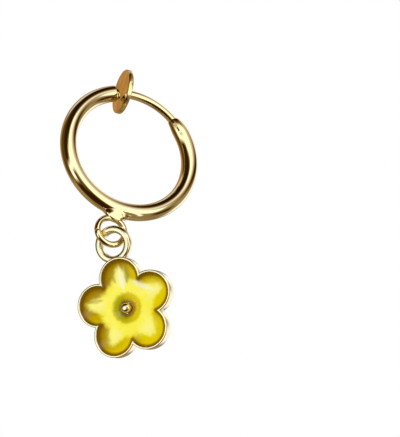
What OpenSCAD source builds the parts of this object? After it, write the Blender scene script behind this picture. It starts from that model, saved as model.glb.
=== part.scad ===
// Hoop earring that clips to an unpierced lobe, with a hanging flower
//
// The earring is modelled as it hangs on an ear, in millimetres, +Z up and
// -Y towards the front. The origin is the middle of the grip, where the pad's
// face meets the head of the plug with the lobe between them. The hoop lies
// in one plane that leans about the lobe's axis, which is X, and the flower
// hangs plumb below it. Directions round the hoop are in degrees from the
// right-hand side (+X), counted upwards as seen from the front.

/* [Hoop] */
// Outside diameter of the hoop
hoop_d = 15; // [13:0.5:24]
// Outside diameter of the bent tube
tube_d = 1.69; // [1.5:0.05:2.2]
// Wall thickness of the tube
tube_wall = 0.3; // [0.2:0.02:0.36]
// Direction of the tube's plugged end
plug_end_angle = 88; // [82:0.5:96]
// Direction of the tube's other end, where the guide nose begins
nose_angle = 16.9; // [5:1:35]
// Radius of the rounded guide nose
nose_r = 1.5; // [1.5:0.05:1.9]
// How far inside the tube's centreline the nose is centred
nose_shift = 0.62; // [0.4:0.02:0.62]
// Length of the narrow guide hole behind the nose
guide_len = 1.2; // [0.8:0.1:2.5]
// Lean of the hoop, its top away from the front
hoop_lean = 7.9; // [0:0.5:15]

/* [Plug] */
// How far the middle of the plug's head stands out of the tube
plug_head = 0.28; // [0.24:0.02:0.6]
// Diameter of the plug's head
head_d = 1.26; // [1.2:0.02:1.4]
// Slant of the head's face, which makes it longer on the inner side of the bend
plug_slant = 11; // [0:1:14]
// Length of the plug inside the tube
plug_depth = 1.1; // [0.6:0.1:2]
// Clearance round the plug in the tube and under its head
plug_gap = 0.04; // [0.03:0.01:0.06]
// How much smaller the plug's neck is than its shank, in radius
plug_step = 0.05; // [0.03:0.01:0.1]

/* [Clamp] */
// Diameter of the pad
pad_d = 4.65; // [3.5:0.1:5.5]
// Thickness of the pad
pad_t = 0.53; // [0.4:0.02:0.7]
// Bevel on the pad's edges
pad_bevel = 0.08; // [0.04:0.01:0.12]
// How far outside the tube's centreline the pad is centred
pad_shift = 0.24; // [0:0.01:0.4]
// Tilt of the pad, which brings its inner side nearer to the plug
pad_tilt = 10.9; // [0:0.1:12]
// Gap left between the pad and the plug, at their nearest, when shut
grip_gap = 0.05; // [0.03:0.01:0.1]
// Diameter of the sliding post
post_d = 0.86; // [0.6:0.02:0.9]
// Clearance round the post in the guide hole
post_gap = 0.05; // [0.04:0.01:0.06]
// Length of post that stays in the tube when shut
post_hidden = 1.9; // [1.5:0.1:3]

/* [Hoop loop] */
// Direction of the loop on the hoop
loop_angle = 241.4; // [225:1:300]
// Outside diameter of the wire loop
loop_d = 3.54; // [3.2:0.02:4]
// Diameter of the loop's wire
loop_wire_d = 0.64; // [0.5:0.01:0.7]
// Width of the slit where the wire's ends meet
loop_slit = 0.07; // [0.04:0.01:0.1]
// Direction of the slit, seen from the loop's centre
slit_angle = 170; // [140:5:220]
// Thickness of solder between the tube and the loop
solder_t = 0.05; // [0.04:0.01:0.2]
// Width of the solder along the tube
solder_w = 2.6; // [1.8:0.1:2.8]
// Depth of the solder from front to back
solder_depth = 0.86; // [0.7:0.02:1]
// Radius of the hollow at each end of the solder
solder_fillet = 0.45; // [0.3:0.05:0.5]
// How far the solder runs down over the wire, from the wire's middle
solder_cover = 0.2; // [0.1:0.02:0.24]

/* [Flower] */
// Distance from the flower's centre to each petal's centre
petal_reach = 2.99; // [2.8:0.05:3.2]
// Radius of each petal
petal_r = 2.2; // [2.1:0.05:2.4]
// Number of petals
petals = 5; // [5:1:5]
// Thickness of the flower from front to back
flower_t = 1.2; // [1.1:0.05:2]
// Width of the metal rim
rim_w = 0.25; // [0.2:0.01:0.3]
// Thickness of the floor under the enamel
floor_t = 0.45; // [0.3:0.05:0.6]
// Bevel round the flower's back
back_bevel = 0.16; // [0.08:0.02:0.24]
// Turn of the flower's face from the front towards the left
charm_turn = 47.8; // [45:0.1:90]
// Diameter of the round pistil
pistil_d = 1.06; // [0.8:0.02:1.3]
// Diameter of the pistil's stem
stem_d = 0.56; // [0.4:0.02:0.7]
// Depth of the pistil's centre below the rim
pistil_depth = 0.34; // [0.2:0.02:0.45]

/* [Flower ring] */
// Outside diameter of the flower's hanging ring
ring_d = 3.82; // [3.6:0.02:4]
// Width of the ring's metal, in its own plane
ring_w = 0.74; // [0.64:0.02:0.84]
// Thickness of the ring's metal, across its plane
ring_t = 0.94; // [0.7:0.02:1]
// Rounding of the ring's edges
ring_round = 0.26; // [0.1:0.02:0.3]
// Depth of the ring's middle behind the flower's front
ring_back = 0.56; // [0.5:0.01:0.7]
// How deep the ring runs into the edge of the top petal
ring_sink = 0.55; // [0.3:0.05:0.6]
// Height of the hoop loop's centre over the ring's centre
link_drop = 1.4; // [1.2:0.05:1.6]

/* [Enamel] */
// Depth of the enamel's surface below the rim
enamel_depth = 0.12; // [0.05:0.01:0.2]
// Gap between the enamel and the metal
enamel_gap = 0.02; // [0.01:0.01:0.04]

/* [Hidden] */
$fn = 96;

// Overlap that lets joined shapes share metal
lap = 0.3;

tube_r = tube_d / 2;
hoop_r = hoop_d / 2 - tube_r;
bore_r = tube_r - tube_wall;
plug_r = bore_r - plug_gap;
head_r = head_d / 2;
post_r = post_d / 2;
guide_r = post_r + post_gap;
loop_r = (loop_d - loop_wire_d) / 2;
loop_reach = hoop_d / 2 + solder_t + loop_d / 2;

// Length along the tube from its end to the middle of the pad's gripping face,
// which leaves the gap at the inner corner of the plug's slanted head
head_inner = plug_head + head_r * tan(plug_slant);
face_inner = grip_gap + head_inner + (head_r + pad_shift) * tan(pad_tilt);
face_reach = (face_inner + head_r * pad_t / 2 / hoop_r) / (1 - head_r / hoop_r);

// Directions of the pad's middle, of its gripping face and of the post's end
pad_angle = plug_end_angle - arc(face_reach + pad_t / 2);
grip_angle = pad_angle + arc(pad_t / 2);
tail_angle = nose_angle - arc(post_hidden);

// The hoop's centre and the loop's centre, in the hoop's own plane, from the grip
hoop_x = -hoop_r * cos(grip_angle);
hoop_y = -hoop_r * sin(grip_angle);
loop_x = hoop_x + loop_reach * cos(loop_angle);
loop_y = hoop_y + loop_reach * sin(loop_angle);

// The ring's centre, plumb below the loop's centre
ring_pos = [loop_x, loop_y * sin(hoop_lean), loop_y * cos(hoop_lean) - link_drop];
ring_drop = petal_reach + petal_r + ring_d / 2 - ring_sink;

gold = [0.83, 0.66, 0.33];
pale_gold = [0.86, 0.83, 0.66];
yellow = [0.95, 0.85, 0.1];

// Angle of an arc of length s along the tube's centreline
function arc(s) = s / hoop_r * 180 / PI;

// Puts a shape drawn in the XY plane round the hoop's centre in its place
module in_hoop() {
    rotate([-hoop_lean, 0, 0])
        rotate([90, 0, 0])
            translate([hoop_x, hoop_y, 0])
                children();
}

// Puts a shape on the hoop's centreline, its Z along the tube towards rising angles
module on_tube(angle, shift = 0, tilt = 0) {
    rotate([0, 0, angle])
        translate([hoop_r + shift, 0, 0])
            rotate([0, 0, -tilt])
                rotate([-90, 0, 0])
                    children();
}

// Round rod of radius r bent along the hoop from one direction to another
module bent_rod(r, from, to) {
    rotate([0, 0, from])
        rotate_extrude(angle = to - from)
            translate([hoop_r, 0])
                circle(r);
}

// Disc with both edges bevelled, standing on the XY plane
module bevelled_disc(r, t, bevel) {
    rotate_extrude()
        polygon([
            [0, 0],
            [r - bevel, 0],
            [r, bevel],
            [r, t - bevel],
            [r - bevel, t],
            [0, t]
        ]);
}

// Rounded end of the tube, longer on the inner side of the bend
module guide_nose() {
    intersection() {
        bent_rod(tube_r, nose_angle - arc(lap), nose_angle + 2 * arc(nose_r));
        on_tube(nose_angle, -nose_shift)
            sphere(nose_r);
    }
}

// Solder between the tube and the wire loop, hollowed at both ends
module solder() {
    tube_side = loop_d / 2 + solder_t;
    linear_extrude(solder_depth, center = true)
        difference() {
            union() {
                translate([-solder_w / 2, loop_r])
                    square([solder_w, tube_side + tube_r - loop_r]);
                translate([-solder_w / 4, loop_r - solder_cover])
                    square([solder_w / 2, solder_cover + lap]);
            }
            for (side = [-1, 1])
                translate([side * (solder_w / 2 + solder_fillet / 3), tube_side - solder_fillet / 2])
                    circle(solder_fillet);
        }
}

// Wire loop with a slit
module wire_loop() {
    difference() {
        rotate_extrude()
            translate([loop_r, 0])
                circle(loop_wire_d / 2);
        rotate([0, 0, slit_angle])
            translate([loop_r, 0, 0])
                cube([2 * loop_wire_d, loop_slit, 2 * loop_wire_d], center = true);
    }
}

module hoop() {
    color(gold)
        in_hoop()
            difference() {
                union() {
                    bent_rod(tube_r, plug_end_angle, 360 + nose_angle);
                    guide_nose();
                    rotate([0, 0, loop_angle])
                        translate([loop_reach, 0, 0])
                            rotate([0, 0, 90])
                                solder();
                    translate([loop_reach * cos(loop_angle), loop_reach * sin(loop_angle), 0])
                        wire_loop();
                }
                bent_rod(bore_r, plug_end_angle - arc(lap), 360 + nose_angle - arc(guide_len));
                bent_rod(guide_r, nose_angle - arc(guide_len + lap), nose_angle + 2 * arc(nose_r));
            }
}

// Round head of the plug with a slanted face
module slanted_head() {
    difference() {
        translate([0, 0, -2 * plug_head])
            cylinder(r = head_r, h = 2 * plug_head - plug_gap);
        translate([0, 0, -plug_head])
            rotate([0, -plug_slant, 0])
                translate([-head_d, -head_d, -2 * head_d])
                    cube(2 * head_d);
    }
}

module end_plug() {
    color(gold)
        in_hoop() {
            bent_rod(plug_r, plug_end_angle, plug_end_angle + arc(plug_depth));
            on_tube(plug_end_angle) {
                slanted_head();
                translate([0, 0, -2 * plug_gap])
                    cylinder(r = plug_r - plug_step, h = lap);
            }
        }
}

module clamp_pad() {
    color(gold)
        in_hoop() {
            bent_rod(post_r, tail_angle, pad_angle);
            on_tube(pad_angle, pad_shift, pad_tilt)
                translate([0, 0, -pad_t / 2])
                    bevelled_disc(pad_d / 2, pad_t, pad_bevel);
        }
}

// Puts a shape drawn in the XY plane, its back on that plane, in the flower's place
module in_flower() {
    translate(ring_pos)
        rotate([0, 0, -charm_turn])
            translate([0, flower_t - ring_back, -ring_drop])
                rotate([90, 0, 0])
                    children();
}

// Copies a shape to each petal's centre, the first one upwards
module at_petals() {
    for (i = [0 : petals - 1])
        rotate([0, 0, 90 + i * 360 / petals])
            translate([petal_reach, 0, 0])
                children();
}

// Flower-shaped plate whose petals have radius r, filled in the middle
module petal_plate(r, t) {
    at_petals()
        cylinder(r = r, h = t);
    cylinder(r = r, h = t);
}

// Outside of the flower, bevelled round its back
module flower_body() {
    translate([0, 0, back_bevel])
        petal_plate(petal_r, flower_t - back_bevel);
    at_petals()
        cylinder(r1 = petal_r - back_bevel, r2 = petal_r, h = back_bevel);
    cylinder(r = petal_r, h = back_bevel);
}

// Ring section: a rectangle with round corners, centred
module ring_section() {
    square([ring_w - 2 * ring_round, ring_t], center = true);
    square([ring_w, ring_t - 2 * ring_round], center = true);
    for (x = [-1, 1], y = [-1, 1])
        translate([x * (ring_w / 2 - ring_round), y * (ring_t / 2 - ring_round)])
            circle(ring_round);
}

module hanging_ring() {
    translate([0, ring_drop, flower_t - ring_back])
        rotate_extrude()
            translate([(ring_d - ring_w) / 2, 0])
                ring_section();
}

module pistil(extra = 0) {
    cylinder(d = stem_d + 2 * extra, h = flower_t - pistil_depth);
    translate([0, 0, flower_t - pistil_depth])
        sphere(d = pistil_d + 2 * extra);
}

module charm() {
    color(pale_gold)
        in_flower() {
            difference() {
                union() {
                    flower_body();
                    hanging_ring();
                }
                translate([0, 0, floor_t])
                    petal_plate(petal_r - rim_w, flower_t);
            }
            pistil();
        }
}

module enamel() {
    color(yellow)
        in_flower()
            difference() {
                translate([0, 0, floor_t + enamel_gap])
                    petal_plate(
                        petal_r - rim_w - enamel_gap,
                        flower_t - floor_t - enamel_gap - enamel_depth
                    );
                pistil(enamel_gap);
            }
}

hoop();
end_plug();
clamp_pad();
charm();
enamel();
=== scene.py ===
# %% [markdown]
# # A clip-on hoop earring with an enamel flower
# The real thing is a bent gold tube that grips the ear lobe between a plug and a
# round pad on a sliding post. A split wire loop under it carries a cast flower in
# pale gold, filled with yellow enamel. This lesson dresses the CAD model of that
# earring: each CAD solid gets a smoother, finer piece in exactly the same place.

# %% Load the CAD model as a fixed frame
import bpy
import bmesh
import math
import numpy as np
from mathutils import Matrix, Vector


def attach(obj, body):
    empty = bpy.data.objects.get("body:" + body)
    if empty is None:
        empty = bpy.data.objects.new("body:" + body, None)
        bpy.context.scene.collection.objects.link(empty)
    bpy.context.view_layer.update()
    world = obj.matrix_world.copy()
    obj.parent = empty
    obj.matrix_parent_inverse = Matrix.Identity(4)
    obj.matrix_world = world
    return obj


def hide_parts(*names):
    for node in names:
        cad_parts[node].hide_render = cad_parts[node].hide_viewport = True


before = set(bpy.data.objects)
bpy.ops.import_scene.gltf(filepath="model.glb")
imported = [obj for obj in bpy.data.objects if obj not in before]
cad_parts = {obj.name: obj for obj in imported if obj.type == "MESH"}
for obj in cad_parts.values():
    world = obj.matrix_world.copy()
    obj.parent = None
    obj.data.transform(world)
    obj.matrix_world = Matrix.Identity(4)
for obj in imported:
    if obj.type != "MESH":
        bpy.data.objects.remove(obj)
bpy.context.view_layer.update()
print("CAD nodes:", sorted(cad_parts))

# %% [markdown]
# ## The sizes
# The numbers are those of the CAD source, in metres. Angles round the hoop count in
# degrees from its right-hand side, upwards as seen from the front. Keeping them
# together means that each later cell only speaks of tube, pad, loop and petals.

# %% Sizes of the hoop and its clamp
MM = 0.001
HOOP_OUTSIDE, TUBE_R, BORE_R = 7.5 * MM, 0.845 * MM, 0.545 * MM
HOOP_R = HOOP_OUTSIDE - TUBE_R
PLUG_END, NOSE_ANGLE = 88.0, 16.9
NOSE_R, NOSE_SHIFT = 1.5 * MM, 0.62 * MM
GUIDE_R, GUIDE_LEN = 0.48 * MM, 1.2 * MM
PLUG_R, PLUG_DEPTH = 0.505 * MM, 1.1 * MM
HEAD_R, HEAD_OUT, SLANT = 0.63 * MM, 0.28 * MM, math.radians(11)
PAD_R, PAD_T, PAD_SHIFT, PAD_TILT = 2.325 * MM, 0.53 * MM, 0.24 * MM, 10.9
POST_R, POST_HIDDEN, GRIP_GAP = 0.43 * MM, 1.9 * MM, 0.05 * MM
LOOP_ANGLE, LOOP_R, WIRE_R = 241.4, 1.45 * MM, 0.32 * MM
SLIT_ANGLE, SLIT, SOLDER_T = 170.0, 0.07 * MM, 0.05 * MM
LOOP_REACH = HOOP_OUTSIDE + SOLDER_T + LOOP_R + WIRE_R
print("hoop's centreline radius, mm:", round(HOOP_R / MM, 3))


# %% Where the pad sits on the hoop
def arc(length):
    """Degrees that a length of the tube's centreline takes."""
    return math.degrees(length / HOOP_R)


head_inner = HEAD_OUT + HEAD_R * math.tan(SLANT)
face_inner = GRIP_GAP + head_inner + (HEAD_R + PAD_SHIFT) * math.tan(math.radians(PAD_TILT))
face_reach = (face_inner + HEAD_R * PAD_T / 2 / HOOP_R) / (1 - HEAD_R / HOOP_R)
PAD_ANGLE = PLUG_END - arc(face_reach + PAD_T / 2)
GRIP_ANGLE = PAD_ANGLE + arc(PAD_T / 2)
print("pad at", round(PAD_ANGLE, 2), "degrees")

# %% Sizes of the flower
REACH, PETAL_R, PETALS = 2.99 * MM, 2.2 * MM, 5
FLOWER_T, RIM, FLOOR_T, BACK_BEVEL = 1.2 * MM, 0.25 * MM, 0.45 * MM, 0.16 * MM
PISTIL_R, STEM_R, PISTIL_Z = 0.53 * MM, 0.28 * MM, 0.86 * MM
RING_R, RING_W, RING_T, RING_ROUND = 1.54 * MM, 0.74 * MM, 0.94 * MM, 0.26 * MM
RING_Z, RING_DROP, LINK_DROP = 0.64 * MM, 6.55 * MM, 1.4 * MM
ENAMEL_R, ENAMEL_TOP, ENAMEL_LOW = 1.93 * MM, 1.08 * MM, 0.47 * MM
print("circle round the petals, mm:", round(2 * (REACH + PETAL_R) / MM, 2))

# %% [markdown]
# ## Two drawing planes
# The hoop leans back a little and the flower hangs plumb, turned to one side. Each
# piece is drawn flat, in the plane it belongs to, and is then carried into place by
# that plane's matrix. This is easier to follow than turned primitives, and the
# place is applied to the mesh at the end, as the frame asks.


# %% The plane of the hoop
def plane(origin, right, up):
    """Matrix of a drawing plane: X to the right, Y up, Z towards the viewer."""
    right, up = Vector(right).normalized(), Vector(up).normalized()
    turn = Matrix((right, up, right.cross(up))).transposed().to_4x4()
    return Matrix.Translation(origin) @ turn


LEAN = math.radians(7.9)
grip = math.radians(GRIP_ANGLE)
hoop_up = Vector((0, math.sin(LEAN), math.cos(LEAN)))
hoop_x, hoop_y = -HOOP_R * math.cos(grip), -HOOP_R * math.sin(grip)
HOOP = plane(Vector((hoop_x, 0, 0)) + hoop_y * hoop_up, (1, 0, 0), hoop_up)
print("hoop's centre, mm:", [round(c / MM, 3) for c in HOOP.translation])

# %% The plane of the flower, under the wire loop
TURN = math.radians(47.8)
loop_way = math.radians(LOOP_ANGLE)
loop_x = LOOP_REACH * math.cos(loop_way)
loop_y = LOOP_REACH * math.sin(loop_way)
loop_place = HOOP @ Vector((loop_x, loop_y, 0))
ring_place = loop_place - Vector((0, 0, LINK_DROP))
flower_right = Vector((math.cos(TURN), -math.sin(TURN), 0))
flower_front = flower_right.cross(Vector((0, 0, 1)))
flower_place = ring_place - RING_Z * flower_front - Vector((0, 0, RING_DROP))
FLOWER = plane(flower_place, flower_right, (0, 0, 1))
print("flower's back centre, mm:", [round(c / MM, 3) for c in flower_place])

# %% [markdown]
# ## Helpers for modelling by rings
# Turned, bent and cast metal can all be made the same way as by hand: add a circle,
# extrude its edge, and set each new ring where the shape wants it. Every vertex of
# the first circle keeps a number called turn, from 0 to 1 round the ring, and
# extrude hands it on. So a rule from turn to a point places a whole ring.


# %% Select nothing, and select by place
def fresh():
    """Leaves edit mode and deselects everything."""
    if bpy.context.mode != "OBJECT":
        bpy.ops.object.mode_set(mode="OBJECT")
    bpy.ops.object.select_all(action="DESELECT")


def select_ring(obj, test):
    """Selects only the vertices that pass the test, and their edges."""
    bpy.ops.mesh.select_all(action="DESELECT")
    mesh = bmesh.from_edit_mesh(obj.data)
    for v in mesh.verts:
        v.select = test(v.co)
    mesh.select_flush(True)
    bmesh.update_edit_mesh(obj.data)


# %% Start from a circle and pull it out
def set_ring(obj, rule):
    """Puts the selected vertices where the rule says for their turn."""
    mesh = bmesh.from_edit_mesh(obj.data)
    turn = mesh.verts.layers.float["turn"]
    for v in mesh.verts:
        if v.select:
            v.co = rule(v[turn])
    bmesh.update_edit_mesh(obj.data)


def first_ring(name, count, radius, rule):
    """Adds a circle of that radius, numbers its vertices and sets them by the rule."""
    fresh()
    bpy.ops.mesh.primitive_circle_add(vertices=count, radius=radius)
    obj = bpy.context.active_object
    obj.name = obj.data.name = name
    bpy.ops.object.mode_set(mode="EDIT")
    mesh = bmesh.from_edit_mesh(obj.data)
    turn = mesh.verts.layers.float.new("turn")
    for v in mesh.verts:
        v[turn] = (math.atan2(v.co.y, v.co.x) / (2 * math.pi)) % 1.0
    bmesh.update_edit_mesh(obj.data)
    set_ring(obj, rule)
    return obj


def pull(obj, *rules):
    """Extrudes the selected ring once for each rule, and sets each new ring by it."""
    for rule in rules:
        bpy.ops.mesh.extrude_region()
        set_ring(obj, rule)


# %% Close a ring, start from a closed one, and spin
def cap():
    """Closes the selected ring with one face."""
    bpy.ops.mesh.edge_face_add()


def pole():
    """Draws the selected ring together to one point."""
    bpy.ops.mesh.merge(type="CENTER")


def first_disc(name, count, radius, rule):
    """Starts from a circle that is closed by a face, and leaves it selected."""
    obj = first_ring(name, count, radius, rule)
    cap()
    select_ring(obj, lambda p: True)
    return obj


def spin_to(angle, steps, center=(0, 0, 0)):
    """Spins the selected ring round a centre by that many degrees."""
    bpy.ops.mesh.spin(
        steps=steps, angle=-math.radians(angle), center=center, axis=(0, 0, 1)
    )


# %% Finish a piece, join its parts, and give it to a body
def finish(obj, place, angle=35):
    """Merges doubles, turns faces outwards, and applies the piece's place."""
    bpy.ops.mesh.select_all(action="SELECT")
    bpy.ops.mesh.remove_doubles(threshold=0.0004 * MM)
    bpy.ops.mesh.normals_make_consistent(inside=False)
    fresh()
    obj.data.attributes.remove(obj.data.attributes["turn"])
    obj.matrix_world = place @ obj.matrix_world
    obj.select_set(True)
    bpy.context.view_layer.objects.active = obj
    bpy.ops.object.transform_apply(location=True, rotation=True, scale=True)
    bpy.ops.object.shade_smooth_by_angle(angle=math.radians(angle))
    obj.select_set(False)
    print(obj.name, "has", len(obj.data.polygons), "faces")
    return obj


def join(name, *parts):
    """Joins finished parts into one piece."""
    fresh()
    for part in parts:
        part.select_set(True)
    bpy.context.view_layer.objects.active = parts[0]
    bpy.ops.object.join()
    piece = bpy.context.active_object
    piece.name = piece.data.name = name
    fresh()
    return piece


def wear(piece, body, *nodes):
    """The piece moves with a CAD body and stands for the CAD nodes."""
    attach(piece, body)
    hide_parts(*nodes)


# %% [markdown]
# ## The hoop's tube
# The hoop is a thin-walled tube bent round a mandrel. Its right end is drawn in to
# a rounded nose that guides the sliding post, and the metal closes there in a short
# crease. A curve with a bevel could give the bend, but not that nose, so the tube
# is spun from a circle, and the nose is then pulled out ring by ring. The bore is
# made too, because the post slides in it.


# %% A point on the tube
def on_tube(angle, radius, turn, along=0.0):
    """Point round the tube's centreline, moved along it by a length."""
    way = math.radians(angle + arc(along))
    out = HOOP_R + radius * math.cos(2 * math.pi * turn)
    side = radius * math.sin(2 * math.pi * turn)
    return Vector((out * math.cos(way), out * math.sin(way), side))


def tube_ring(angle, radius, along=0.0):
    """Rule for a ring of that radius across the tube."""
    return lambda turn: on_tube(angle, radius, turn, along)


# %% The nose's profile
TUBE_POINTS, NOSE_RINGS, SMOOTHINGS = 96, 44, 5
NOSE_BASE, TAPER_R, GUIDE_LIP = 12.0, 5.5 * MM, 0.35 * MM
nose_far = math.radians(NOSE_ANGLE - NOSE_BASE) * HOOP_R


def nose_profile(turn):
    """Lengths and radii from the tube's wall, over the round nose, into the guide."""
    c, s = math.cos(2 * math.pi * turn), math.sin(2 * math.pi * turn)
    radius = np.linspace(TUBE_R, GUIDE_R, 300)
    ball = NOSE_R**2 - (radius * c + NOSE_SHIFT) ** 2 - (radius * s) ** 2
    taper = TAPER_R**2 - (radius + TAPER_R - TUBE_R) ** 2
    along = np.minimum(nose_far + np.sqrt(ball), np.sqrt(np.maximum(taper, 0)))
    wall = np.linspace(0, along[0], 30)[:-1]
    into = np.linspace(0, GUIDE_LIP, 40)[1:]
    along = np.concatenate((wall, along, along[-1] - into))
    radius = np.concatenate(
        (np.full(len(wall), TUBE_R), radius, np.full(len(into), GUIDE_R))
    )
    length = np.append(0, np.cumsum(np.hypot(np.diff(along), np.diff(radius))))
    stops = np.linspace(0, length[-1], NOSE_RINGS)
    path = np.stack([np.interp(stops, length, along), np.interp(stops, length, radius)], 1)
    for _ in range(SMOOTHINGS):
        path[1:-1] = (path[:-2] + 2 * path[1:-1] + path[2:]) / 4
    path[:, 1] = np.maximum(path[:, 1], GUIDE_R)
    return path.tolist()


profiles = [nose_profile(k / TUBE_POINTS) for k in range(TUBE_POINTS)]
nose_length = max(along for along, radius in profiles[TUBE_POINTS // 2])
print("the nose ends", round(nose_length / MM, 2), "mm past its base")

# %% The crease and the nose's rings
CREASE_POINT, CREASE_WIDTH, CREASE_DEPTH = 34, 0.9, 0.14 * MM
CREASE_FROM, CREASE_DEEPENS = 0.3 * MM, 0.5 * MM
CREASE_TO, CREASE_FADES = 1.35 * MM, 0.1 * MM


def crease(point, along):
    """Depth of the short crease in which the drawn-in metal closes."""
    beside = math.exp(-(((point - CREASE_POINT) / CREASE_WIDTH) ** 2))
    begins = min(max((along - CREASE_FROM) / CREASE_DEEPENS, 0.0), 1.0)
    ends = min(max((CREASE_TO - along) / CREASE_FADES, 0.0), 1.0)
    return CREASE_DEPTH * beside * begins * ends


def nose_ring(k):
    """Rule for ring k of the nose."""

    def rule(turn):
        point = round(turn * TUBE_POINTS) % TUBE_POINTS
        along, radius = profiles[point][k]
        if radius > BORE_R:
            radius -= crease(point, along)
        return on_tube(NOSE_BASE, radius, turn, along)

    return rule


# %% Spin the tube, pull out the nose, and line the bore
TUBE_EDGE = 0.05 * MM
tube = first_ring("tube", TUBE_POINTS, TUBE_R, tube_ring(PLUG_END, TUBE_R, TUBE_EDGE))
spin_to(360 + NOSE_BASE - PLUG_END - arc(TUBE_EDGE), steps=264)
pull(tube, *[nose_ring(k) for k in range(1, NOSE_RINGS)])
pull(tube, tube_ring(NOSE_ANGLE, GUIDE_R, -GUIDE_LEN))
pull(tube, tube_ring(NOSE_ANGLE, BORE_R, -GUIDE_LEN))
spin_to(-(360 + NOSE_ANGLE - PLUG_END - arc(GUIDE_LEN)), steps=120)
for radius, along in (
    (TUBE_R - TUBE_EDGE, 0.0),
    (TUBE_R - 0.3 * TUBE_EDGE, 0.24 * TUBE_EDGE),
    (TUBE_R, TUBE_EDGE),
):
    pull(tube, tube_ring(PLUG_END, radius, along))
finish(tube, HOOP)

# %% [markdown]
# ## The wire loop
# A piece of round wire is bent to a ring, and its ends meet at a fine slit. A torus
# has no ends, so the wire is spun from a circle, almost all the way round. Each end
# is rounded off by two narrower rings and closed by a face.


# %% Spin the split wire
def wire_ring(angle, radius):
    """Rule for a ring across the loop's wire."""
    way = math.radians(angle)

    def rule(turn):
        out = LOOP_R + radius * math.cos(2 * math.pi * turn)
        side = radius * math.sin(2 * math.pi * turn)
        return Vector((loop_x + out * math.cos(way), loop_y + out * math.sin(way), side))

    return rule


WIRE_EDGE = 0.05 * MM
half_slit = math.degrees(SLIT / 2 / LOOP_R)
edge_turn = math.degrees(WIRE_EDGE / LOOP_R)
wire_start = SLIT_ANGLE + half_slit
wire_end = SLIT_ANGLE + 360 - half_slit
wire = first_ring("wire_loop", 64, WIRE_R, wire_ring(wire_start, WIRE_R - WIRE_EDGE))
pull(wire, wire_ring(wire_start + 0.3 * edge_turn, WIRE_R - 0.3 * WIRE_EDGE))
pull(wire, wire_ring(wire_start + edge_turn, WIRE_R))
spin_to(360 - 2 * half_slit - 2 * edge_turn, steps=144, center=(loop_x, loop_y, 0))
pull(wire, wire_ring(wire_end - 0.3 * edge_turn, WIRE_R - 0.3 * WIRE_EDGE))
pull(wire, wire_ring(wire_end, WIRE_R - WIRE_EDGE))
cap()
end_middle = wire_ring(wire_start, 0)(0)
select_ring(wire, lambda p: (p - end_middle).length < WIRE_R - 0.9 * WIRE_EDGE)
cap()
finish(wire, HOOP)

# %% [markdown]
# ## The solder
# The solder has run into a hollow saddle between the two metals, wide on the tube
# and narrow at the wire. It is pulled from a flat ring whose width and depth change
# on the way from the wire to the tube. Its ends lie inside the metals, so that it
# grows out of both without a gap.

# %% Pull the solder from the wire to the tube
SOLDER_SHIFT, SQUARISH = 0.05 * MM, 0.75


def solder_ring(reach, half_width, half_depth):
    """Rule for a flat oval ring, from sizes in mm: how far it is from the loop's
    centre towards the tube, and half its width and depth."""
    inwards = Vector((-math.cos(loop_way), -math.sin(loop_way), 0))
    along = Vector((-inwards.y, inwards.x, 0))
    middle = Vector((loop_x, loop_y, 0)) + reach * MM * inwards - SOLDER_SHIFT * along

    def rule(turn):
        c, s = math.cos(2 * math.pi * turn), math.sin(2 * math.pi * turn)
        x = math.copysign(abs(c) ** SQUARISH, c) * half_width * MM
        z = math.copysign(abs(s) ** SQUARISH, s) * half_depth * MM
        return middle + x * along + Vector((0, 0, z))

    return rule


SOLDER = (
    (1.20, 0.56, 0.26), (1.24, 0.66, 0.35), (1.32, 0.76, 0.41), (1.42, 0.84, 0.43),
    (1.52, 0.90, 0.44), (1.60, 0.95, 0.45), (1.68, 1.01, 0.46), (1.75, 1.08, 0.475),
    (1.81, 1.17, 0.50), (1.87, 1.27, 0.53), (1.94, 1.36, 0.57), (2.03, 1.42, 0.62),
    (2.12, 1.41, 0.67), (2.22, 1.28, 0.72),
)
solder = first_disc("solder", 96, MM, solder_ring(*SOLDER[0]))
pull(solder, *[solder_ring(*s) for s in SOLDER[1:]])
cap()
finish(solder, HOOP, angle=60)

# %% One soldered piece
hoop = join("hoop_gold", tube, wire, solder)
wear(hoop, "hoop_body", "hoop")

# %% [markdown]
# ## The sliding clamp
# The pad is a flat polished disc with softened edges, soldered to a curved post
# that slides in the tube. The post is spun like the tube. The disc is a closed
# circle that is pulled round its edge, which keeps its flat faces truly flat, so
# that they mirror the tube as on the real one.


# %% Rings in a turned plane on the tube
def disc_ring(angle, radius, height, shift=0.0, tilt=0.0, slant=0.0):
    """Rule for a ring across the tube at an angle, tilted, with a slanted height."""
    out = Vector((math.cos(math.radians(angle)), math.sin(math.radians(angle)), 0))
    middle = (HOOP_R + shift) * out
    way = math.radians(angle - tilt)
    out = Vector((math.cos(way), math.sin(way), 0))
    along = Vector((-math.sin(way), math.cos(way), 0))

    def rule(turn):
        c, s = math.cos(2 * math.pi * turn), math.sin(2 * math.pi * turn)
        lift = height + radius * c * math.tan(slant)
        return middle + radius * c * out + lift * along + Vector((0, 0, radius * s))

    return rule


def pad_ring(radius, height):
    """Rule for a ring round the pad's own axis, from its middle plane."""
    return disc_ring(PAD_ANGLE, radius, height, PAD_SHIFT, PAD_TILT)


def quarter(steps):
    """The angles of a quarter turn, from 0, for a rounded edge."""
    return [math.pi / 2 * k / steps for k in range(steps + 1)]


def rounded(radius, low, high, bevel, steps=5):
    """Radii and heights round the softened edge of a disc."""
    under = [(radius - bevel + bevel * math.sin(t), low + bevel - bevel * math.cos(t))
             for t in quarter(steps)]
    over = [(radius - bevel + bevel * math.cos(t), high - bevel + bevel * math.sin(t))
            for t in quarter(steps)]
    return under + over


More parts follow.
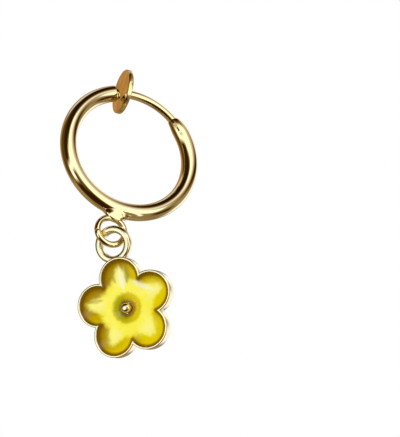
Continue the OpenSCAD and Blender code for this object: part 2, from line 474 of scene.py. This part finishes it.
# %% The pad
PAD_EDGE, PAD_FLAT = 0.11 * MM, 0.86 * PAD_R
pad = first_disc("pad_gold", 160, PAD_FLAT, pad_ring(PAD_FLAT, -PAD_T / 2))
pull(pad, *[pad_ring(r, h) for r, h in rounded(PAD_R, -PAD_T / 2, PAD_T / 2, PAD_EDGE)])
pull(pad, pad_ring(PAD_FLAT, PAD_T / 2))
cap()
finish(pad, HOOP)
wear(pad, "clamp", "clamp_pad")

# %% The post
POST_DOME = 0.12 * MM
tail = NOSE_ANGLE - arc(POST_HIDDEN)
post = first_disc("post_gold", 64, POST_R, tube_ring(tail, POST_R - POST_DOME))
for part in (0.3, 0.6, 1.0):
    t = part * math.pi / 2
    narrower, along = POST_DOME * (1 - math.sin(t)), POST_DOME * (1 - math.cos(t))
    pull(post, tube_ring(tail, POST_R - narrower, along))
spin_to(PAD_ANGLE - tail - arc(POST_DOME), steps=84)
cap()
finish(post, HOOP, angle=50)
wear(post, "clamp", "clamp_pad")

# %% [markdown]
# ## The plug
# The plug closes the tube's upper end and meets the pad. It is turned from solid
# rod: a shank inside the tube, a fine groove, and a slightly larger head whose face
# is cut on a slant to lie flat against the pad. Each step is one pulled ring, as on
# a lathe.

# %% The plug, with its slanted head
NECK_R = PLUG_R - 0.05 * MM
NECK_OUT, HEAD_EDGE = 0.04 * MM, 0.03 * MM
plug = first_disc("plug_gold", 64, PLUG_R, tube_ring(PLUG_END, PLUG_R, PLUG_DEPTH))
pull(plug, tube_ring(PLUG_END, PLUG_R), tube_ring(PLUG_END, NECK_R))
for r, h in (
    (NECK_R, NECK_OUT), (HEAD_R - HEAD_EDGE, NECK_OUT), (HEAD_R, NECK_OUT + HEAD_EDGE)
):
    pull(plug, disc_ring(PLUG_END, r, -h))
for inset, drop in ((0.0, 0.05), (0.015, 0.015), (0.05, 0.0), (0.2, -0.004)):
    r = HEAD_R - inset * MM
    pull(plug, disc_ring(PLUG_END, r, drop * MM - HEAD_OUT, slant=SLANT))
cap()
finish(plug, HOOP)
wear(plug, "hoop_body", "end_plug")

# %% [markdown]
# ## The flower's outline
# The petals are five equal circles round the middle, as a cast cup with a raised
# rim. Every ring of the cup, outside and inside, is the same outline with another
# petal radius, so one rule draws them all. Each petal gets the same number of
# points, from notch to notch, which keeps the notches crisp.


# %% A point on the outline
def petal_point(turn, radius):
    """Point on an outline of five arcs of that radius; turn 0 is a notch."""
    part = (turn % 1.0) * PETALS
    petal = int(part)
    half = math.pi / PETALS
    notch = REACH * math.cos(half) + math.sqrt(radius**2 - (REACH * math.sin(half)) ** 2)
    widest = math.atan2(notch * math.sin(half), notch * math.cos(half) - REACH)
    swing = (2 * (part - petal) - 1) * widest
    x, y = REACH + radius * math.cos(swing), radius * math.sin(swing)
    way = math.pi / 2 + petal * 2 * half
    return Vector((x * math.cos(way) - y * math.sin(way), x * math.sin(way) + y * math.cos(way)))


def petal_ring(radius, height, shrink=1.0):
    """Rule for a ring with the flower's outline, at that height from its back."""

    def rule(turn):
        p = petal_point(turn, radius) * shrink
        return Vector((p.x, p.y, height))

    return rule


# %% [markdown]
# ## The cast cup
# Cup, hanging ring and pistil are one casting on the real flower. The cup is pulled
# from its back, up the wall, over the rounded rim and down inside to the floor. An
# extruded outline with a bevel could do it too, but its notches would tangle where
# the bevels of two petals meet.

# %% Pull the cup
RIM_ROUND = 0.07 * MM


def rim_steps(radius, height, side):
    """Rounded edge of the rim, from the wall to the flat, on the given side."""
    return [(radius - side * RIM_ROUND * (1 - math.cos(t)), height - RIM_ROUND * (1 - math.sin(t)))
            for t in quarter(4)]


back = [(PETAL_R - BACK_BEVEL * (1 - math.sin(t)), BACK_BEVEL * (1 - math.cos(t)))
        for t in quarter(6)]
outer = rim_steps(PETAL_R, FLOWER_T, 1)
inner = rim_steps(PETAL_R - RIM, FLOWER_T, -1)[::-1]
cup = first_disc("cup", 360, REACH, petal_ring(*back[0], 0.2))
pull(cup, *[petal_ring(*back[0], s) for s in (0.5, 0.8)])
pull(cup, *[petal_ring(r, h) for r, h in back + outer + inner])
pull(cup, *[petal_ring(PETAL_R - RIM, FLOOR_T, s) for s in (1.0, 0.8, 0.5, 0.2)])
cap()
finish(cup, FLOWER, angle=40)

# %% [markdown]
# ## The hanging ring
# The ring has a deep section with round corners, which a torus can't have, so that
# section is spun. At its foot the ring runs into the cup's wall. It is trimmed back
# to the middle of that wall, so that none of it shows inside the cup.


# %% The ring's section
def section_point(turn):
    """Point on the ring's section: a rectangle with round corners."""
    c, s = math.cos(2 * math.pi * turn), math.sin(2 * math.pi * turn)
    x, z = c * RING_W, s * RING_T
    x = max(-RING_W / 2 + RING_ROUND, min(RING_W / 2 - RING_ROUND, x))
    z = max(-RING_T / 2 + RING_ROUND, min(RING_T / 2 - RING_ROUND, z))
    return x + RING_ROUND * c, z + RING_ROUND * s


def ring_section(turn):
    """Rule for the section at the ring's right-hand side."""
    x, z = section_point(turn)
    return Vector((RING_R + x, 0, z))


# %% Spin the ring and trim its foot
ring = first_ring("hanging_ring", 64, RING_W / 2, ring_section)
spin_to(-360, steps=160)
petal_middle = REACH - RING_DROP
wall_middle = PETAL_R - RIM / 2
mesh = bmesh.from_edit_mesh(ring.data)
for v in mesh.verts:
    out = Vector((v.co.x, v.co.y - petal_middle))
    if out.length < wall_middle:
        out = out.normalized() * wall_middle
        v.co = Vector((out.x, out.y + petal_middle, v.co.z))
bmesh.update_edit_mesh(ring.data)
finish(ring, FLOWER @ Matrix.Translation((0, RING_DROP, RING_Z)), angle=50)

# %% [markdown]
# ## The pistil
# The pistil is a short stem with a bead on it, a little fuller at the top than a
# ball. A ball that is added as a primitive would meet the stem in an open seam, so
# stem and bead are pulled up together, ring by ring, to the bead's pole.

# %% Pull up the pistil
STEM_LOW, BEAD_STEPS, POLE_GAP, FULLER = 0.2 * MM, 24, 0.03, 0.5


def round_ring(radius, height):
    """Rule for a round ring about the flower's middle."""

    def rule(turn):
        way = 2 * math.pi * turn
        return Vector((radius * math.cos(way), radius * math.sin(way), height))

    return rule


pistil = first_disc("pistil", 64, STEM_R, round_ring(STEM_R, STEM_LOW))
stem_angle = math.asin(STEM_R / PISTIL_R)
for k in range(BEAD_STEPS + 1):
    t = stem_angle + (math.pi - POLE_GAP - stem_angle) * k / BEAD_STEPS
    power = 1.0 if t < math.pi / 2 else FULLER
    pull(pistil, round_ring(PISTIL_R * math.sin(t) ** power, PISTIL_Z - PISTIL_R * math.cos(t)))
bpy.ops.mesh.extrude_region()
pole()
finish(pistil, FLOWER, angle=60)

# %% One casting
casting = join("flower_casting", cup, ring, pistil)
wear(casting, "flower_drop", "charm")

# %% [markdown]
# ## The enamel
# Molten enamel creeps up the walls and sinks in the middle of each petal, so its
# face is dished and catches curved lights. The face is pulled from the rim in to
# the pistil by rings that change slowly from petals to a circle.

# %% The dished face
HOLE_R, OUTLINE_POINTS = 0.56 * MM, 720
SINK, SINK_WIDTH = 0.36 * MM, 1.0 * MM
CREEP, CREEP_WIDTH = 0.05 * MM, 0.1 * MM
BOWL, BOWL_WIDTH = 0.16 * MM, 1.0 * MM
outline = np.array(
    [petal_point(k / OUTLINE_POINTS, ENAMEL_R)[:] for k in range(OUTLINE_POINTS)]
)


def face_point(turn, way_in):
    """Point of the face and its height: way_in 0 is at the rim and 1 is at the pistil."""
    rim = petal_point(turn, ENAMEL_R)
    angle = math.atan2(rim.y, rim.x)
    hole = Vector((HOLE_R * math.cos(angle), HOLE_R * math.sin(angle)))
    p = rim.lerp(hole, way_in)
    to_rim = float(np.min(np.hypot(outline[:, 0] - p.x, outline[:, 1] - p.y)))
    to_bead = p.length - HOLE_R
    sink = SINK * (1 - math.exp(-to_rim / SINK_WIDTH))
    creep = CREEP * math.exp(-to_bead / CREEP_WIDTH)
    bowl = BOWL / 2 * (1 + math.cos(math.pi * min(to_bead / BOWL_WIDTH, 1.0)))
    return p, ENAMEL_TOP - max(sink - creep + bowl, 0.0)


def face_ring(way_in):
    """Rule for one ring of the enamel's face."""

    def rule(turn):
        p, height = face_point(turn, way_in)
        return Vector((p.x, p.y, height))

    return rule


# %% Pull the enamel
enamel = first_ring("enamel_yellow", 360, REACH, petal_ring(ENAMEL_R, ENAMEL_LOW))
steps = [0, 0.01, 0.025, 0.045] + [0.07 + 0.93 * k / 30 for k in range(31)]
pull(enamel, *[face_ring(s) for s in steps])
pull(enamel, lambda turn: Vector((*(face_point(turn, 1.0)[0]), ENAMEL_LOW)))
pull(enamel, petal_ring(ENAMEL_R, ENAMEL_LOW))
finish(enamel, FLOWER, angle=50)
wear(enamel, "flower_drop", "enamel")

# %% [markdown]
# ## Numbers for the enamel's finish
# The finish needs to know where on the flower it is. Four numbers are kept at every
# vertex: the distance to the rim, the place across and up the flower, and how far
# the nearest rim lies to the upper left, where the wall throws its shade. Near a
# notch two rims count, so the last one is a weighted mean. Every fourth point of
# the outline is near enough for these measures.

# %% Measure each vertex
SHADE_SIDE, RIM_BLEND_MM, SHORTEST = (-0.64, 0.77), 0.12, 0.02 * MM
to_flower = FLOWER.inverted()
local = [to_flower @ v.co for v in enamel.data.vertices]
flat = np.array([(p.x, p.y) for p in local])
gap = outline[None, ::4, :] - flat[:, None, :]
far = np.hypot(gap[..., 0], gap[..., 1])
rim_mm = far.min(axis=1) / MM
weight = np.exp(-(far / MM - rim_mm[:, None]) / RIM_BLEND_MM)
facing = (weight[..., None] * gap).sum(axis=1)
facing /= np.maximum(np.hypot(facing[:, 0], facing[:, 1]), SHORTEST)[:, None]
measured = {
    "rim": rim_mm, "across": flat[:, 0] / MM, "up": flat[:, 1] / MM,
    "shaded": facing @ np.array(SHADE_SIDE),
}
for name, values in measured.items():
    layer = enamel.data.attributes.new(name, "FLOAT", "POINT")
    layer.data.foreach_set("value", np.asarray(values, dtype=np.float32))
print("deepest enamel point from the rim, mm:", round(float(rim_mm.max()), 2))

# %% [markdown]
# ## Small helpers for nodes
# A finish is a small graph of nodes. These helpers add a node, set its values and
# wire it in one line, so that each finish below reads like a recipe.


# %% Add a node and wire it in
def node(tree, kind, **values):
    """Adds a node and sets its properties."""
    made = tree.nodes.new(kind)
    for key, value in values.items():
        setattr(made, key, value)
    return made


def wire_in(tree, socket, value):
    """Links a socket or sets a plain value."""
    if isinstance(value, bpy.types.NodeSocket):
        tree.links.new(value, socket)
    else:
        socket.default_value = value


# %% Numbers and colours
def maths(tree, operation, a, b=0.0, c=0.0):
    """One Math node."""
    made = node(tree, "ShaderNodeMath", operation=operation)
    for socket, value in zip(made.inputs, (a, b, c)):
        wire_in(tree, socket, value)
    return made.outputs[0]


def smooth(tree, value, low, high, at_low=0.0, at_high=1.0):
    """Smooth step from one value to another."""
    made = node(tree, "ShaderNodeMapRange", interpolation_type="SMOOTHSTEP")
    for socket, v in zip(made.inputs, (value, low, high, at_low, at_high)):
        wire_in(tree, socket, v)
    return made.outputs[0]


def blend(tree, factor, a, b):
    """Mixes two colours."""
    made = node(tree, "ShaderNodeMix", data_type="RGBA")
    wire_in(tree, made.inputs[0], factor)
    wire_in(tree, made.inputs[6], a)
    wire_in(tree, made.inputs[7], b)
    return made.outputs[2]


# %% Noise, bumps and an empty finish
def noise(tree, vector, scale, detail=3.0, rough=0.5):
    """Noise texture value."""
    made = node(tree, "ShaderNodeTexNoise")
    wire_in(tree, made.inputs["Vector"], vector)
    made.inputs["Scale"].default_value = scale
    made.inputs["Detail"].default_value = detail
    made.inputs["Roughness"].default_value = rough
    return made.outputs["Fac"]


BUMP_DEPTH = 0.02 * MM


def bumpy(tree, shader, height, strength):
    """Lets a height make fine bumps in the shader's surface."""
    bump = node(tree, "ShaderNodeBump")
    bump.inputs["Distance"].default_value = BUMP_DEPTH
    bump.inputs["Strength"].default_value = strength
    tree.links.new(height, bump.inputs["Height"])
    tree.links.new(bump.outputs[0], shader.inputs["Normal"])


def new_finish(name):
    """A material, its nodes, its Principled shader, and the place on the object."""
    material = bpy.data.materials.new(name)
    material.use_nodes = True
    tree = material.node_tree
    place = node(tree, "ShaderNodeTexCoord").outputs["Object"]
    return material, tree, tree.nodes["Principled BSDF"], place


# %% [markdown]
# ## The gold finishes
# Both metals are cast or drawn, then polished and plated. Polish is never perfect:
# the buffing leaves faint streaks, a slow waviness and tiny pits. So roughness and
# bump come from noise at two scales, and the colour drifts a little between warmer
# and cooler gold. The flower's plating is paler, nearer to champagne. The pad is
# stamped from thin sheet, so its face is wavier and its tone drifts more.

# %% A polished metal
GRAIN_SCALE, GRAIN_HEIGHT, WAVE_SCALE, DRIFT_SCALE = 9000.0, 0.02, 700.0, 420.0


def polished(name, warm, cool, low, high, waviness, spread=DRIFT_SCALE):
    """Metal whose colour drifts between two tones and whose polish varies."""
    material, tree, shader, place = new_finish(name)
    drift = noise(tree, place, spread, 2.0)
    grain = noise(tree, place, GRAIN_SCALE, 4.0, 0.6)
    slow = noise(tree, place, WAVE_SCALE, 1.0)
    tone = blend(tree, smooth(tree, drift, 0.35, 0.65), warm, cool)
    tree.links.new(tone, shader.inputs["Base Color"])
    rough = smooth(tree, grain, 0.35, 0.75, low, high)
    tree.links.new(rough, shader.inputs["Roughness"])
    shader.inputs["Metallic"].default_value = 1.0
    pits = maths(tree, "MULTIPLY", grain, GRAIN_HEIGHT)
    bumpy(tree, shader, maths(tree, "MULTIPLY_ADD", slow, waviness, pits), strength=0.35)
    return material


# %% The three golds
gold = polished("polished_gold", (0.93, 0.77, 0.41, 1), (0.93, 0.79, 0.45, 1), 0.05, 0.11, 0.25)
pale = polished("pale_gold", (0.92, 0.76, 0.44, 1), (0.84, 0.78, 0.51, 1), 0.14, 0.22, 2.0)
stamped = polished(
    "stamped_gold", (0.97, 0.80, 0.42, 1), (0.76, 0.55, 0.24, 1), 0.07, 0.16, 14.0, 900.0
)
for piece, material, slot in (
    (hoop, gold, "gold"), (plug, gold, "gold"), (post, gold, "gold"),
    (pad, stamped, "gold"), (casting, pale, "pale_gold"),
):
    piece.data.materials.clear()
    piece.data.materials.append(material)
    print(piece.name, "is finished in", material.name)

# %% [markdown]
# ## The enamel's finish
# Yellow enamel is coloured glass over a bright cup. It is lemon where it is thin or lit through,
# amber where painted shade lies against its walls, and its surface is glossy. The numbers kept on
# the mesh drive a star of light that reaches into each petal, and the painted light, shade and
# highlights laid over the enamel's colour. They are read first, and the distance and the bearing
# from the middle follow from them.

# %% Read the kept numbers
glass, tree, shader, object_place = new_finish("yellow_enamel")


def kept(name):
    """A number kept on the enamel's vertices."""
    return node(tree, "ShaderNodeAttribute", attribute_name=name).outputs["Fac"]


rim_gap, across, up, shaded = kept("rim"), kept("across"), kept("up"), kept("shaded")
hub = maths(tree, "SQRT", maths(tree, "ADD", maths(tree, "MULTIPLY", across, across),
                                maths(tree, "MULTIPLY", up, up)))
petal_way = maths(tree, "ARCTAN2", up, across)
petal_wave = maths(tree, "COSINE",
                   maths(tree, "MULTIPLY_ADD", petal_way, PETALS, -PETALS * math.pi / 2))
on_axis = maths(tree, "POWER", maths(tree, "MULTIPLY_ADD", petal_wave, 0.5, 0.5), 3.2)

# %% [markdown]
# ### Uneven edges
# Light in thick enamel has no clean edges. A noise that changes quickly round the
# flower and slowly outwards gives streaks that run out from the middle, and a cloudy
# noise breaks them up. Their sum is added to the distances further on.

# %% Streaks that run out from the middle
streak_place = node(tree, "ShaderNodeCombineXYZ")
wire_in(tree, streak_place.inputs[0], maths(tree, "DIVIDE", across, hub))
wire_in(tree, streak_place.inputs[1], maths(tree, "DIVIDE", up, hub))
wire_in(tree, streak_place.inputs[2], maths(tree, "MULTIPLY", hub, 0.12))
streaks = noise(tree, streak_place.outputs[0], 5.0, 4.0, 0.6)
cloud = noise(tree, object_place, 1500.0, 3.0, 0.55)
uneven = maths(tree, "MULTIPLY", maths(tree, "SUBTRACT", streaks, 0.5), 0.3)
uneven = maths(tree, "MULTIPLY_ADD", maths(tree, "SUBTRACT", cloud, 0.5), 0.16, uneven)

# %% [markdown]
# ### Petals and star
# Seen from the front, the lower right of the flower is painted lighter than the upper left, as
# painted light, and each petal has painted shade along its wall, darkest on the wall's shaded side.
# Over that lies the lemon star, with a painted highlight: a pale ray down the middle of each petal.

# %% The petals
AMBER, LIT_SIDE_YELLOW = (0.46, 0.29, 0.0, 1), (0.80, 0.66, 0.0, 1)
LIT_WALL, DIM_WALL = (0.82, 0.56, 0.0, 1), (0.28, 0.14, 0.0, 1)
# Painted light: the lower right of the flower is lighter than the upper left.
side = smooth(tree, maths(tree, "MULTIPLY_ADD", up, -0.45, across), -3.2, 2.6)
base = blend(tree, side, AMBER, LIT_SIDE_YELLOW)
# Painted shade along each petal's wall, darker on the wall's shaded side.
wall = smooth(tree, rim_gap, 0.1, 1.1, 0.8, 0.0)
wall_shade_tone = blend(tree, smooth(tree, shaded, -0.7, 0.6), LIT_WALL, DIM_WALL)
base = blend(tree, wall, base, wall_shade_tone)

# %% The star and its rays
LEMON, RAY_HIGHLIGHT = (1.0, 0.89, 0.03, 1), (1.0, 0.97, 0.50, 1)
star_reach = maths(tree, "MULTIPLY_ADD", on_axis, 1.3, 3.06)
star = maths(tree, "ADD", maths(tree, "DIVIDE", hub, star_reach), uneven)
base = blend(tree, smooth(tree, star, 0.82, 1.04, 1.0, 0.0), base, LEMON)
# Painted highlight: a pale ray down the middle of each petal.
ray_highlight = maths(tree, "MULTIPLY", smooth(tree, star, 0.45, 0.65),
                 smooth(tree, star, 0.8, 1.02, 1.0, 0.0))
ray_highlight = maths(tree, "MULTIPLY", ray_highlight, maths(tree, "MULTIPLY_ADD", on_axis, 0.3, 0.1))
base = blend(tree, ray_highlight, base, RAY_HIGHLIGHT)

# %% [markdown]
# ### Strokes in the petals
# Some streaks in the enamel follow no rule, so each is laid one by one, from a start to an end in
# millimetres across and up the flower. Four are olive or amber, where the enamel is thick. The two
# pale ones stand for streaks of light in the upper and the right-hand petal.

# %% A tapering stroke
THINNEST, RAGGED = 0.03, 0.8


def stroke(start, end, wide, strength):
    """How much of a tapering stroke of the brush there is, from start to end in mm."""
    run = (end[0] - start[0], end[1] - start[1])
    long = math.hypot(*run)
    a = maths(tree, "SUBTRACT", across, start[0])
    b = maths(tree, "SUBTRACT", up, start[1])
    ahead = maths(tree, "ADD", maths(tree, "MULTIPLY", a, run[0] / long),
                  maths(tree, "MULTIPLY", b, run[1] / long))
    aside = maths(tree, "SUBTRACT", maths(tree, "MULTIPLY", b, run[0] / long),
                  maths(tree, "MULTIPLY", a, run[1] / long))
    ragged = maths(tree, "ADD", aside, maths(tree, "MULTIPLY", uneven, RAGGED))
    swells = smooth(tree, ahead, -0.1 * long, 0.4 * long)
    fades = smooth(tree, ahead, 0.2 * long, long, 1.0, 0.0)
    reach = maths(tree, "MULTIPLY", swells, fades)
    width = maths(tree, "MULTIPLY_ADD", reach, wide, THINNEST)
    off_line = maths(tree, "DIVIDE", maths(tree, "ABSOLUTE", ragged), width)
    body = smooth(tree, off_line, 0.1, 1.0, strength, 0.0)
    return maths(tree, "MULTIPLY", body, smooth(tree, reach, 0.0, 0.45))


# %% Lay the strokes: start, end, width, strength and tone
STROKES = (
    ((0.6, 2.3), (0.95, 4.8), 0.50, 0.75, (0.30, 0.29, 0.0, 1)),
    ((-0.6, 2.6), (-0.95, 4.6), 0.34, 0.6, (0.36, 0.26, 0.0, 1)),
    ((-2.2, 1.4), (-4.5, 1.5), 0.34, 0.55, (0.40, 0.30, 0.0, 1)),
    ((-2.4, -0.2), (-4.6, 0.1), 0.3, 0.5, (0.60, 0.46, 0.0, 1)),
    # The last two strokes are painted highlights: pale reflections on the upper and the right-hand
    # petal.
    ((0.05, 1.6), (0.12, 5.0), 0.55, 0.75, (0.96, 0.95, 0.66, 1)),
    ((1.0, 2.6), (4.0, 0.5), 0.55, 0.7, (0.96, 0.95, 0.62, 1)),
)
for *laid, tone in STROKES:
    base = blend(tree, stroke(*laid), base, tone)
print("strokes in the enamel:", len(STROKES))

# %% [markdown]
# ### Middle and rim
# Round the pistil the enamel fills a bowl: an olive and amber disc with a darker line round it, and
# a brown socket close to the bead. Bowl and socket are painted light and shade: olive and darker on
# the left, amber and lighter on the right. Along the rim runs a thin brown line of painted shade,
# and painted shade widens in the shaded corners.

# %% The bowl and the socket round the pistil
SHADED_BOWL_OLIVE, LIT_BOWL_AMBER, BOWL_LINE = (0.42, 0.36, 0.0, 1), (0.82, 0.58, 0.0, 1), (0.40, 0.35, 0.0, 1)
DARK_SOCKET, LIT_SOCKET = (0.12, 0.055, 0.0, 1), (0.30, 0.15, 0.0, 1)
bowl = maths(tree, "ADD", hub, maths(tree, "MULTIPLY", uneven, 1.3))
# Painted light: bowl and socket are lighter towards the right than towards the left.
turned = smooth(tree, maths(tree, "DIVIDE", across, hub), -0.6, 0.8)
bowl_tone = blend(tree, turned, SHADED_BOWL_OLIVE, LIT_BOWL_AMBER)
base = blend(tree, smooth(tree, bowl, 1.2, 1.65, 0.9, 0.0), base, bowl_tone)
line = maths(tree, "MULTIPLY", smooth(tree, bowl, 1.2, 1.45),
             smooth(tree, bowl, 1.45, 1.75, 1.0, 0.0))
base = blend(tree, maths(tree, "MULTIPLY", line, 0.4), base, BOWL_LINE)
socket_tone = blend(tree, turned, DARK_SOCKET, LIT_SOCKET)
base = blend(tree, smooth(tree, bowl, 0.68, 1.08, 0.92, 0.0), base, socket_tone)

# %% Painted shade: the shaded corners and the line at the rim
CORNER_SHADE, RIM_SHADE_LINE = (0.17, 0.07, 0.0, 1), (0.20, 0.09, 0.0, 1)
# Painted shade: dark brown near the rim on the shaded upper-left side, and a thin brown line all
# along the rim.
corner_shade = maths(tree, "MULTIPLY", smooth(tree, rim_gap, 0.05, 0.55, 0.85, 0.0),
               smooth(tree, shaded, -0.1, 0.8))
base = blend(tree, corner_shade, base, CORNER_SHADE)
base = blend(tree, smooth(tree, rim_gap, 0.08, 0.36, 0.9, 0.0), base, RIM_SHADE_LINE)
tree.links.new(base, shader.inputs["Base Color"])

# %% The gloss
shader.inputs["Roughness"].default_value = 0.12
shader.inputs["Specular IOR Level"].default_value = 0.08
shader.inputs["Coat Weight"].default_value = 0.5
shader.inputs["Coat Roughness"].default_value = 0.03
shader.inputs["Coat IOR"].default_value = 1.55
bumpy(tree, shader, noise(tree, object_place, 900.0, 1.0), strength=0.3)
enamel.data.materials.clear()
enamel.data.materials.append(glass)
print(enamel.name, "is finished in", glass.name, "with", len(tree.nodes), "nodes")

# %% [markdown]
# ## The studio
# Polished metal shows its surroundings, so lighting it means deciding what it sees.
# A photographer puts soft boxes where the metal should be bright and black cards
# where it should be dark. Here they are painted on the world as soft-edged panels,
# by bearing and height, over a dim room. A bearing of 0 is straight in front of the
# earring. Later panels lie over earlier ones.

# %% Bearing and height of each direction
world = bpy.data.worlds.new("studio")
bpy.context.scene.world = world
world.use_nodes = True
sky = world.node_tree
sky.nodes.clear()
parts = node(sky, "ShaderNodeSeparateXYZ")
sky.links.new(node(sky, "ShaderNodeTexCoord").outputs["Generated"], parts.inputs[0])
east, north, above = parts.outputs
bearing = maths(sky, "DEGREES", maths(sky, "ARCTAN2", east, maths(sky, "MULTIPLY", north, -1.0)))
rise = maths(sky, "DEGREES", maths(sky, "ARCSINE", above))


# %% A soft-edged panel
def panel(light, middle, size, tilt, soft, value):
    """Lays a soft-edged panel over the light so far: middle and size in degrees."""
    c, s = math.cos(math.radians(tilt)), math.sin(math.radians(tilt))
    a = maths(sky, "SUBTRACT", bearing, middle[0])
    b = maths(sky, "SUBTRACT", rise, middle[1])
    u = maths(sky, "ABSOLUTE", maths(sky, "MULTIPLY_ADD", a, c, maths(sky, "MULTIPLY", b, s)))
    v = maths(sky, "ABSOLUTE", maths(sky, "MULTIPLY_ADD", b, c, maths(sky, "MULTIPLY", a, -s)))
    wide = smooth(sky, u, size[0] / 2 - soft, size[0] / 2 + soft, 1.0, 0.0)
    tall = smooth(sky, v, size[1] / 2 - soft, size[1] / 2 + soft, 1.0, 0.0)
    mixed = node(sky, "ShaderNodeMix", data_type="FLOAT")
    wire_in(sky, mixed.inputs[0], maths(sky, "MULTIPLY", wide, tall))
    wire_in(sky, mixed.inputs[2], light)
    mixed.inputs[3].default_value = value
    return mixed.outputs[0]


def panel_behind(light, middle, *rest):
    """Lays a panel that crosses the back, where bearings jump from 180 to -180."""
    for bearing_there in (middle[0], middle[0] + 360):
        light = panel(light, (bearing_there, middle[1]), *rest)
    return light


# %% Cards and soft boxes: middle, size, tilt, soft edge and brightness
BEHIND = (
    ((-180, 0), (110, 200), 0, 15, 0.36), ((-180, 68), (150, 24), 0, 6, 0.75),
    ((-180, -46), (140, 16), 0, 6, 0.22), ((-168, 14), (30, 50), 0, 8, 0.52),
)
CARDS = (
    ((115, 2), (40, 76), 0, 8, 1.15),
    ((-74, 70), (98, 106), 39, 8, 0.03), ((44, 72), (160, 56), 7, 12, 0.02),
    ((-56, -36), (88, 63), 8, 12, 0.03), ((75, 7), (60, 21), 6, 12, 0.01),
    ((54, -36), (24, 32), 47, 7, 0.05),
)
BOXES = (
    ((-7, 29), (51, 13), 13, 6, 1.5), ((-57, 7), (58, 20), 14, 7, 1.45),
    ((18, -35), (6, 51), 23, 4, 1.5), ((-39, -1), (29, 27), 11, 5, 0.1),
    ((9, 2), (41, 57), 13, 6, 1.5), ((-114, 36), (54, 90), -6, 10, 0.1),
    ((44, 29), (21, 21), 0, 4, 0.66), ((32, 27), (20, 14), 0, 4, 0.9),
    ((16, 26), (20, 16), 0, 4, 1.5), ((25, -4), (20, 17), 0, 4, 1.5),
)
light = smooth(sky, rise, -60.0, 60.0, 0.28, 0.53)
for laid in BEHIND:
    light = panel_behind(light, *laid)
for laid in CARDS + BOXES:
    light = panel(light, *laid)
print("panels behind and in front:", len(BEHIND), len(CARDS + BOXES))

# %% [markdown]
# ## The light's colour
# Where a photo of gold gets darker it also gets redder, because the light that
# reaches those places has already met the metal. So the dim parts of the studio are
# warm and its boxes are white, and one warmer panel stands behind the earring. Matt
# surfaces get plain white light, and the camera sees a plain white ground.

# %% Warm where it is dim
GREEN_POWER, GREEN_GAIN, BLUE_POWER, BLUE_GAIN = 0.26, 1.055, 1.9, 1.38
dim = maths(sky, "MINIMUM", light, 1.0)
tint = panel_behind(1.0, (-165, 10), (36, 66), 0, 8, 0.62)
green = maths(sky, "MULTIPLY", maths(sky, "POWER", dim, GREEN_POWER), GREEN_GAIN)
blue = maths(sky, "MULTIPLY", maths(sky, "POWER", dim, BLUE_POWER), BLUE_GAIN)
warm = node(sky, "ShaderNodeCombineXYZ")
sky.links.new(light, warm.inputs[0])
sky.links.new(maths(sky, "MULTIPLY", maths(sky, "MULTIPLY", light, green), tint), warm.inputs[1])
sky.links.new(maths(sky, "MULTIPLY", blue, maths(sky, "POWER", tint, 3.0)), warm.inputs[2])

# %% White for matt surfaces and for the camera
ray = node(sky, "ShaderNodeLightPath").outputs
plain = smooth(sky, rise, -40.0, 60.0, 0.7, 1.1)
shown = blend(sky, ray["Is Diffuse Ray"], warm.outputs[0], plain)
shown = blend(sky, ray["Is Camera Ray"], shown, (1.0, 1.0, 1.0, 1.0))
lamp = node(sky, "ShaderNodeBackground")
sky.links.new(shown, lamp.inputs["Color"])
out = node(sky, "ShaderNodeOutputWorld")
sky.links.new(lamp.outputs[0], out.inputs["Surface"])
bpy.context.scene.view_settings.view_transform = "Standard"
print("nodes in the studio:", len(sky.nodes))

# %% [markdown]
# ## The floor
# The earring hangs well above a plain pale floor. The floor takes soft shadows, but
# the polished metal looks past it to the studio, as it would over a small table.

# %% A pale floor
FLOOR_SIZE, FLOOR_Z = 4.0, -0.11
fresh()
bpy.ops.mesh.primitive_plane_add(size=FLOOR_SIZE, location=(0, 0, FLOOR_Z))
floor = bpy.context.active_object
floor.name = "floor"
floor.visible_glossy = False
paper, tree, shader, floor_place = new_finish("pale_paper")
fibre = noise(tree, floor_place, 60.0, 5.0)
tree.links.new(blend(tree, fibre, (0.86, 0.86, 0.85, 1), (0.92, 0.92, 0.91, 1)),
               shader.inputs["Base Color"])
shader.inputs["Roughness"].default_value = 0.9
floor.data.materials.append(paper)
print("floor, m below the grip:", -FLOOR_Z)

# %% [markdown]
# ## The camera
# The photo was taken from below the hoop's middle and from its left, with a long
# lens. The camera's three axes and its distance were worked out from the hoop's
# outline, so they are written as a matrix and need no lens shift.

# %% The camera
CAMERA_FAR, LENS = 240 * MM, 193.8
AIM = Vector((5.587, -1.426, -7.976)) * MM
camera_axes = (
    Vector((0.8755, -0.4348, -0.2109)),
    Vector((0.1058, -0.2533, 0.9616)),
    Vector((-0.4715, -0.8642, -0.1757)),
)
camera = bpy.data.objects.new("camera", bpy.data.cameras.new("camera"))
bpy.context.scene.collection.objects.link(camera)
camera_place = HOOP.translation + AIM + CAMERA_FAR * camera_axes[2]
camera.matrix_world = (
    Matrix.Translation(camera_place) @ Matrix(camera_axes).transposed().to_4x4()
)
camera.data.sensor_width = 36.0
camera.data.lens = LENS
camera.data.clip_start, camera.data.clip_end = 0.01, 10.0
camera.data.dof.use_dof = False
bpy.context.scene.camera = camera
print("camera, mm from the grip:", round(camera_place.length / MM, 1))
